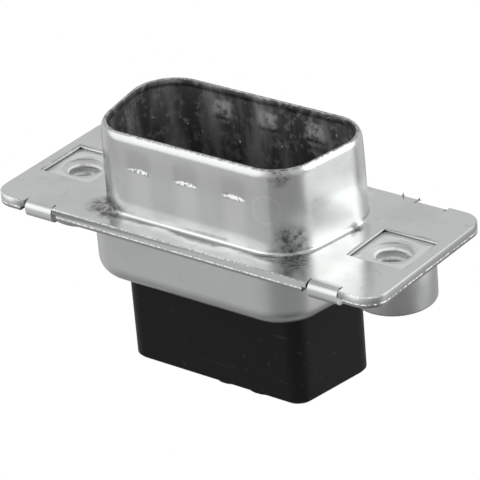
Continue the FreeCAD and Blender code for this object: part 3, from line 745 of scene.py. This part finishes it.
def hood_stations(sizes):
    """Points of the mouth's outline with their outward directions, wide side first."""
    slant = sizes.slant
    high = sizes.mouth_wide / 2 - sizes.corner
    far = sizes.mouth_long / 2 - sizes.corner
    near = far - 2 * high * math.tan(slant)
    quarter = math.pi / 2
    corners = (((far, high), -slant, quarter), ((-far, high), quarter, 2 * quarter + slant),
               ((-near, -high), 2 * quarter + slant, 3 * quarter),
               ((near, -high), 3 * quarter, 4 * quarter - slant))
    stations = []
    for centre, start, end in corners:
        if stations:
            stations += straight_stations(stations[-1], corner_station(sizes, centre, start))
        stations += [corner_station(sizes, centre, start + (end - start) * n / CORNER_STEPS)
                     for n in range(CORNER_STEPS + 1)]
    return stations + straight_stations(stations[-1], stations[0])


def corner_station(sizes, centre, angle):
    """One point of a corner's arc with its outward direction."""
    outward = Vector((math.cos(angle), math.sin(angle)))
    return Vector(centre) + outward * sizes.corner, outward


def straight_stations(last, following):
    """Evenly spaced points between two others, without them."""
    count = max(2, round((following[0] - last[0]).length / STATION_GAP))
    return [(last[0].lerp(following[0], n / count), last[1]) for n in range(1, count)]


def quarter_turn():
    """Angles from zero to a right one in even steps."""
    return [n / BEND_STEPS * math.pi / 2 for n in range(BEND_STEPS + 1)]


def hood_profile(sizes, height):
    """Pairs of offset and height from the flange's front over the rim to its back."""
    foot, wall, curl = sizes.foot, sizes.wall, sizes.curl
    lean = math.tan(sizes.draft)
    points = [(wall + foot * (1 - math.sin(turn)), foot * (1 - math.cos(turn)))
              for turn in quarter_turn()]
    lead, start_turn = sizes.curl_lead, 3 * sizes.draft
    curl_start = height - curl * (math.sin(sizes.curl_turn) - math.sin(start_turn))
    steps = round((curl_start - foot) / OUTER_GAP)
    for n in range(1, steps + 1):
        level = foot + (curl_start - foot) * n / steps
        gone = max(level - curl_start + lead, 0.0)
        points.append((wall - level * lean - gone * gone * lean / lead, level))
    edge = points[-1][0]
    for n in range(1, CURL_STEPS + 1):
        turn = start_turn + (sizes.curl_turn - start_turn) * n / CURL_STEPS
        points.append((edge - curl * (math.cos(start_turn) - math.cos(turn)),
                       curl_start + curl * (math.sin(turn) - math.sin(start_turn))))
    lip = points[-1][0]
    points += [(lip - 0.02 * MM, height), (lip / 2, height)]
    points += [(offset * MM, height - depth * MM) for offset, depth in LIP_INSIDE]
    inner, top = points[-1]
    steps = round((top - foot) / INNER_GAP)
    points += [(inner, top + (foot - top) * n / steps) for n in range(1, steps + 1)]
    bend = foot + SHEET
    points += [(inner + bend * (1 - math.cos(turn)), foot - bend * math.sin(turn))
               for turn in quarter_turn()[1:]]
    return points


def dimple_push(sizes, along, level, number):
    """How far one dimple pushes the wall in at this place along the wall and above the flange."""
    away = along - number * sizes.dimple_pitch
    if abs(away) > 1.3 * MM:
        return 0.0
    uneven = noise.noise(Vector((along * 1700.0, number * 7.0, level * 900.0)))
    torn = noise.noise(Vector((along * 5200.0, number * 3.0, 0.0)))
    shift = 0.04 * MM * uneven + 0.05 * MM * torn
    side = smooth(1.0 * MM, 0.4 * MM, abs(away + 0.05 * MM * uneven))
    ramp = smooth(DIMPLE_TOP, LEDGE + 0.08 * MM, level)
    ledge = smooth(LEDGE - 0.1 * MM + shift, LEDGE + 0.1 * MM + shift, level)
    return sizes.dimple_depth * side * ramp * ledge * (1 + 0.3 * uneven)


def smooth(low, high, value):
    """Zero at low, one at high, smooth between; low may be the larger."""
    share = min(max((value - low) / (high - low), 0.0), 1.0)
    return share * share * (3 - 2 * share)


def add_hood(body, sizes):
    """Rings of the hood from the flange's front to its back, with the dimples pressed in."""
    stations = hood_stations(sizes)
    rings = []
    for offset, level in hood_profile(sizes, RIM - FLANGE_FRONT):
        ring = []
        for foot, outward in stations:
            place = foot + outward * offset
            if abs(outward.x) < 0.01:
                place -= outward * sum(dimple_push(sizes, place.x, level, number)
                                       for number in (-1, 0, 1))
            ring.append(body.verts.new((place.x, place.y, FLANGE_FRONT + level)))
        rings.append(ring)
    for first, second in zip(rings, rings[1:]):
        join_rings(body, first, second)
    return rings[0], rings[-1]


def neighbours(ring):
    """Each point of a closed ring with the next one."""
    return list(zip(ring, ring[1:] + ring[:1]))


def join_rings(body, first, second):
    """A band of quads between two rings of as many points."""
    for (low, low_next), (high, high_next) in zip(neighbours(first), neighbours(second)):
        body.faces.new((low, low_next, high_next, high))


def ring_edges(ring):
    """The edges of one closed ring."""
    return [edge for first, second in neighbours(ring) for edge in first.link_edges
            if edge.other_vert(first) is second]


def add_burr(body, place, height):
    """One small closed spike that the shears left on an edge."""
    foot = Vector(place)
    ring = [body.verts.new(foot + Vector((0.13 * MM * x, 0.06 * MM * y, z)))
            for x, y, z in circle_points(1.0, 0.0, 6)]
    tip = body.verts.new(foot + Vector((0.02 * MM, 0, height)))
    body.faces.new(ring[::-1])
    for first, second in neighbours(ring):
        body.faces.new((first, second, tip))


def in_bend(place):
    """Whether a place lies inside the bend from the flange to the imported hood."""
    return (FLANGE_BACK + TOUCH < place.z < FLANGE_FRONT - TOUCH
            and abs(place.x) < BEND_LONG and abs(place.y) < BEND_WIDE)


def front_shell_mesh(name, sizes, finish):
    """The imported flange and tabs, joined to a hood with a curled rim and soft dimples."""
    body = bmesh.new()
    body.from_mesh(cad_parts["front_shell"].data)
    bmesh.ops.remove_doubles(body, verts=body.verts, dist=0.002 * MM)
    drawn = [face for face in body.faces
             if any(vert.co.z > FLANGE_FRONT + TOUCH or in_bend(vert.co)
                    for vert in face.verts)]
    bmesh.ops.delete(body, geom=drawn, context="FACES")
    flat = [edge for edge in body.edges if len(edge.link_faces) == 2
            and all(abs(face.normal.z) > FLAT for face in edge.link_faces)
            and edge.calc_face_angle() < 0.001]
    bmesh.ops.dissolve_edges(body, edges=flat, use_verts=False)
    round_windows(body)
    open_edges = [edge for edge in body.edges if edge.is_boundary]
    top_ring, back_ring = add_hood(body, sizes)
    for level, ring in ((FLANGE_FRONT, top_ring), (FLANGE_BACK, back_ring)):
        rim = [edge for edge in open_edges
               if all(abs(vert.co.z - level) < TOUCH for vert in edge.verts)]
        bmesh.ops.triangle_fill(body, edges=rim + ring_edges(ring), use_beauty=True)
    for along, height in BURRS:
        place = (along * MM, SHELL_HIGH.y - 0.07 * MM, FLANGE_FRONT - 0.03 * MM)
        add_burr(body, place, height * MM)
    mesh = made_mesh(body, name, finish)
    mesh.set_sharp_from_angle(angle=math.radians(38))
    for polygon in mesh.polygons:
        polygon.use_smooth = abs(polygon.normal.z) < FLAT
    return mesh


def round_windows(body):
    """Round the upper edges of the two windows, as the punch leaves them."""
    edges = [edge for edge in body.edges if len(edge.link_faces) == 2
             and all(abs(vert.co.z - FLANGE_FRONT) < TOUCH
                     and abs(abs(vert.co.x) - INSERT_MIDDLE) < BARREL
                     and abs(vert.co.y) < BARREL for vert in edge.verts)
             and edge.calc_face_angle() > 1.0]
    bmesh.ops.bevel(body, geom=edges, offset=0.16 * MM, segments=4, profile=0.5,
                    affect="EDGES")


def made_mesh(body, name, finish):
    """The plain mesh of a finished body, in one material."""
    bmesh.ops.recalc_face_normals(body, faces=body.faces)
    mesh = bpy.data.meshes.new(name)
    body.to_mesh(mesh)
    body.free()
    mesh.materials.clear()
    mesh.materials.append(finish)
    return mesh


# Threaded inserts

def thread_wall_tree():
    """Geometry nodes for the wall of a threaded hole, open at both ends."""
    group, tree, given = new_group("thread_wall", "GeometryNodeTree", {
        "Float": ("Major", "Minor", "Pitch", "Mouth", "Low", "High"),
        "Int": ("Around", "Along"), "Material": ("Finish",)}, {"Geometry": ("Geometry",)})
    length = tree.math("SUBTRACT", given["High"], given["Low"])
    tube = tree.add("GeometryNodeMeshCylinder", {
        "Vertices": given["Around"], "Side Segments": given["Along"],
        "Radius": 1.0, "Depth": length,
    }, fill_type="NONE")
    x, y, z = tree.split(tree.add("GeometryNodeInputPosition").outputs[0])
    turn = tree.math("DIVIDE", tree.math("ARCTAN2", y, x), math.tau)
    level = tree.total(z, tree.math("DIVIDE", length, 2.0))
    mouth = tree.math("DIVIDE", given["Mouth"], 2.0)
    upper = tree.math("SUBTRACT", mouth, tree.math("SUBTRACT", length, level))
    lower = tree.math("SUBTRACT", mouth, level)
    radius = tree.most(thread_radius(tree, given, level, turn), tree.most(upper, lower))
    moved = tree.add("ShaderNodeCombineXYZ", {
        0: tree.both(x, radius), 1: tree.both(y, radius), 2: tree.total(level, given["Low"])})
    placed = tree.add("GeometryNodeSetPosition", {
        "Geometry": tube.outputs["Mesh"], "Position": moved.outputs[0]})
    real = tree.add("GeometryNodeRealizeInstances", {0: placed.outputs[0]})
    coloured = tree.add("GeometryNodeSetMaterial", {
        "Geometry": real.outputs[0], "Material": given["Finish"]})
    tree.add("NodeGroupOutput", {"Geometry": coloured.outputs[0]})
    return group


def thread_radius(tree, given, level, turn):
    """Radius of the thread at a height and a share of a turn."""
    turns = tree.math("SUBTRACT", tree.math("DIVIDE", level, given["Pitch"]), turn)
    phase = tree.math("FRACT", turns)
    rise = tree.math("SUBTRACT", tree.both(tree.apart(phase, 0.5), 2.0), ROOT_SHARE)
    crest = tree.math("MINIMUM", tree.most(rise, 0.0), FLANK_SHARE)
    tooth = tree.math("DIVIDE", tree.math("SUBTRACT", given["Major"], given["Minor"]),
                      2 * FLANK_SHARE)
    root = tree.math("DIVIDE", given["Major"], 2.0)
    return tree.math("SUBTRACT", root, tree.both(crest, tooth))


def made_real(group, name, values):
    """The plain mesh that a geometry node group makes from these values."""
    holder = bpy.data.objects.new(name, bpy.data.meshes.new(name))
    bpy.context.scene.collection.objects.link(holder)
    modifier = holder.modifiers.new(name, "NODES")
    modifier.node_group = group
    for item in group.interface.items_tree:
        if item.item_type == "SOCKET" and item.in_out == "INPUT" and item.name in values:
            modifier[item.identifier] = values[item.name]
    graph = bpy.context.evaluated_depsgraph_get()
    mesh = bpy.data.meshes.new_from_object(holder.evaluated_get(graph))
    bpy.data.objects.remove(holder)
    return mesh


def circle_points(radius, level, count):
    """Points of a circle about the Z axis."""
    step = math.tau / count
    return [(radius * math.cos(n * step), radius * math.sin(n * step), level)
            for n in range(count)]


def square_points(half, corner, level, count):
    """Points of a square with round corners, one in each of the directions of a circle."""
    points = []
    inner = half - corner
    for x, y, z in circle_points(1.0, level, count):
        along = Vector((x, y))
        point = along * (half / max(abs(along.x), abs(along.y)))
        if abs(point.x) > inner and abs(point.y) > inner:
            centre = Vector((math.copysign(inner, along.x), math.copysign(inner, along.y)))
            shift = along.dot(centre)
            rest = shift * shift - centre.length_squared + corner * corner
            point = along * (shift + math.sqrt(rest))
        points.append((point.x, point.y, z))
    return points


def insert_mesh(name, sizes, finish):
    """Riveted square head, neck, barrel and threaded hole, closed all round."""
    low, high = INSERT_LOW.z, INSERT_HIGH.z + 0.06 * MM
    mouth = sizes.mouth / 2
    under_flange = FLANGE_BACK - SHEET
    profile = [
        circle_points(mouth, high, AROUND),
        square_points(HEAD_HALF - 0.05 * MM, 0.25 * MM, high, AROUND),
        square_points(HEAD_HALF, 0.3 * MM, high - 0.04 * MM, AROUND),
        square_points(HEAD_HALF, 0.3 * MM, FLANGE_BACK + SEAT_GAP, AROUND),
        circle_points(NECK, FLANGE_BACK + SEAT_GAP, AROUND),
        circle_points(NECK, under_flange - SEAT_GAP, AROUND),
        circle_points(BARREL - 0.03 * MM, under_flange - SEAT_GAP, AROUND),
        circle_points(BARREL, under_flange - 0.04 * MM, AROUND),
    ]
    profile += [circle_points(BARREL - BARREL_EDGE * (1 - math.cos(turn)),
                              low + BARREL_EDGE * (1 - math.sin(turn)), AROUND)
                for turn in quarter_turn()]
    profile.append(circle_points(mouth, low, AROUND))
    body = bmesh.new()
    rings = [[body.verts.new(point) for point in points] for points in profile]
    for first, second in zip(rings, rings[1:]):
        join_rings(body, second, first)
    wall = made_real(bpy.data.node_groups.get("thread_wall") or thread_wall_tree(), name, {
        "Major": sizes.major, "Minor": sizes.minor, "Pitch": sizes.pitch,
        "Mouth": sizes.mouth, "Low": low, "High": high, "Around": AROUND, "Along": ALONG,
        "Finish": finish,
    })
    body.from_mesh(wall)
    bmesh.ops.remove_doubles(body, verts=body.verts, dist=0.004 * MM)
    for face in body.faces:
        face.smooth = True
    return made_mesh(body, name, finish)


def keep_piece(name, mesh, slot, *stands_for):
    """Show a mesh as a piece of the housing."""
    piece = bpy.data.objects.new(name, mesh)
    bpy.context.scene.collection.objects.link(piece)
    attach(piece, BODY)
    if stands_for:
        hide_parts(*stands_for)


def nubs_mesh(name, finish):
    """Small nubs of torn skin along the block's lower edge, each a closed wedge."""
    side = min(vert.co.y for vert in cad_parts["rear_insulator"].data.vertices
               if vert.co.z < 0.1 * MM)
    body = bmesh.new()
    for start, end in NUBS:
        rings = []
        for share, out in NUB_SHAPE:
            outline = ((0.05, 0.0), (-out, 0.0), (-out, 0.12), (0.05, 0.3))
            along = (start + share * (end - start)) * MM
            rings.append([body.verts.new((along, side + wide * MM, level * MM))
                          for wide, level in outline])
        body.faces.new(rings[0][::-1])
        body.faces.new(rings[-1])
        for first, second in zip(rings, rings[1:]):
            join_rings(body, first, second)
    return made_mesh(body, name, finish)


# Stage

def light_dome(dome):
    """World light: a plain dome with soft bright and dark patches, by direction."""
    world = bpy.data.worlds.new("studio")
    bpy.context.scene.world = world
    world.use_nodes = True
    tree = Tree(world.node_tree)
    direction = tree.add("ShaderNodeTexCoord").outputs["Generated"]
    total = dome
    for towards, inner, outer, strength in LIGHT_PATCHES:
        near = tree.add("ShaderNodeVectorMath", {
            0: direction, 1: Vector(towards).normalized(),
        }, operation="DOT_PRODUCT").outputs["Value"]
        patch = tree.step(near, math.cos(math.radians(outer)), math.cos(math.radians(inner)))
        total = tree.total(tree.both(patch, strength), total)
    to_camera = tree.add("ShaderNodeLightPath").outputs["Is Camera Ray"]
    level = tree.between(to_camera, total, BACKDROP)
    background = tree.add("ShaderNodeBackground", {"Color": level})
    tree.add("ShaderNodeOutputWorld", {"Surface": background.outputs[0]})


def lay_floor(look):
    """Plain pale floor under the housing."""
    mesh = bpy.data.meshes.new("floor")
    reach = look.reach
    mesh.from_pydata([(-reach, -reach, 0), (reach, -reach, 0), (reach, reach, 0),
                      (-reach, reach, 0)], [], [(0, 1, 2, 3)])
    material, tree = new_material("floor")
    finish_material(tree, {"Base Color": opaque((0.0, 0.0, 0.0)), "Roughness": 1.0,
                           "Specular IOR Level": 0.0, "Emission Color": opaque(look.floor),
                           "Emission Strength": 1.0})
    mesh.materials.append(material)
    floor = bpy.data.objects.new("floor", mesh)
    floor.visible_glossy = False
    bpy.context.scene.collection.objects.link(floor)


def set_camera(look):
    """Camera at the photograph's view."""
    data = bpy.data.cameras.new("camera")
    data.lens = look.lens
    data.sensor_width = 36.0
    camera = bpy.data.objects.new("camera", data)
    camera.location = look.place
    camera.rotation_euler = look.turn
    bpy.context.scene.collection.objects.link(camera)
    bpy.context.scene.camera = camera


# Operators, panel and registration

class HOUSING_OT_stage(Operator):
    """Lay the floor, light the studio and set the camera"""
    bl_idname = "housing.stage"
    bl_label = "Stage"

    def execute(self, context):
        look = context.scene.housing_stage
        lay_floor(look)
        light_dome(look.dome)
        set_camera(look)
        context.scene.view_settings.view_transform = "Standard"
        return {"FINISHED"}


class HOUSING_OT_shells(Operator):
    """Finish the two drawn shells in tin plate"""
    bl_idname = "housing.shells"
    bl_label = "Shells"

    def execute(self, context):
        look = context.scene.housing_shells
        sizes = context.scene.housing_hood
        mesh = front_shell_mesh("front_skin", sizes, tin_plate(
            "front_tin", look, sizes.dimple_pitch))
        keep_piece("front_skin", mesh, "shell", "front_shell")
        # The rear shell's tin is painted darker than the front one's, as painted shade
        dress("rear_shell", tin_plate("rear_tin", look, sizes.dimple_pitch, painted_shade=0.84,
                                      dulled=0.16))
        return {"FINISHED"}


class HOUSING_OT_insulators(Operator):
    """Finish the two black mouldings"""
    bl_idname = "housing.insulators"
    bl_label = "Insulators"

    def execute(self, context):
        material = black_moulding("black_moulding", context.scene.housing_block)
        dress("front_insulator", material)
        dress("rear_insulator", material)
        keep_piece("block_nubs", nubs_mesh("block_nubs", material), "insulator")
        return {"FINISHED"}


class HOUSING_OT_inserts(Operator):
    """Make the two inserts with their cut threads"""
    bl_idname = "housing.inserts"
    bl_label = "Threaded inserts"

    def execute(self, context):
        sizes = context.scene.housing_inserts
        finish = dull_tin("dull_tin", sizes)
        for side, place in (("left", -INSERT_MIDDLE), ("right", INSERT_MIDDLE)):
            mesh = insert_mesh("insert_" + side, sizes, finish)
            mesh.transform(Matrix.Translation((place, 0, 0)))
            keep_piece("insert_" + side, mesh, "insert", "threaded_insert_" + side)
        return {"FINISHED"}


class HOUSING_PT_looks(Panel):
    """Everything that dresses the housing"""
    bl_idname = "HOUSING_PT_looks"
    bl_label = "Plug housing"
    bl_space_type = "VIEW_3D"
    bl_region_type = "UI"
    bl_category = "Plug housing"

    def draw(self, context):
        for step in STEPS:
            self.layout.operator(step.bl_idname)
        for settings in SETTINGS:
            box = self.layout.box()
            group = getattr(context.scene, settings)
            for key in group.bl_rna.properties.keys():
                if key not in ("rna_type", "name"):
                    box.prop(group, key)


SETTINGS = {
    "housing_stage": StageLook,
    "housing_shells": ShellFinish,
    "housing_hood": HoodSizes,
    "housing_block": BlockFinish,
    "housing_inserts": InsertSizes,
}
STEPS = (HOUSING_OT_stage, HOUSING_OT_shells, HOUSING_OT_insulators, HOUSING_OT_inserts)
CLASSES = tuple(SETTINGS.values()) + STEPS + (HOUSING_PT_looks,)


def register():
    """Add the classes and hang the settings on the scene."""
    for cls in CLASSES:
        bpy.utils.register_class(cls)
    for name, cls in SETTINGS.items():
        setattr(bpy.types.Scene, name, PointerProperty(type=cls))


def unregister():
    """Take the settings and classes away again."""
    for name in SETTINGS:
        delattr(bpy.types.Scene, name)
    for cls in reversed(CLASSES):
        bpy.utils.unregister_class(cls)


def main():
    """Dress the housing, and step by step."""
    register()
    for step in STEPS:
        group, action = step.bl_idname.split(".")
        getattr(getattr(bpy.ops, group), action)()


if __name__ == "__main__":
    main()
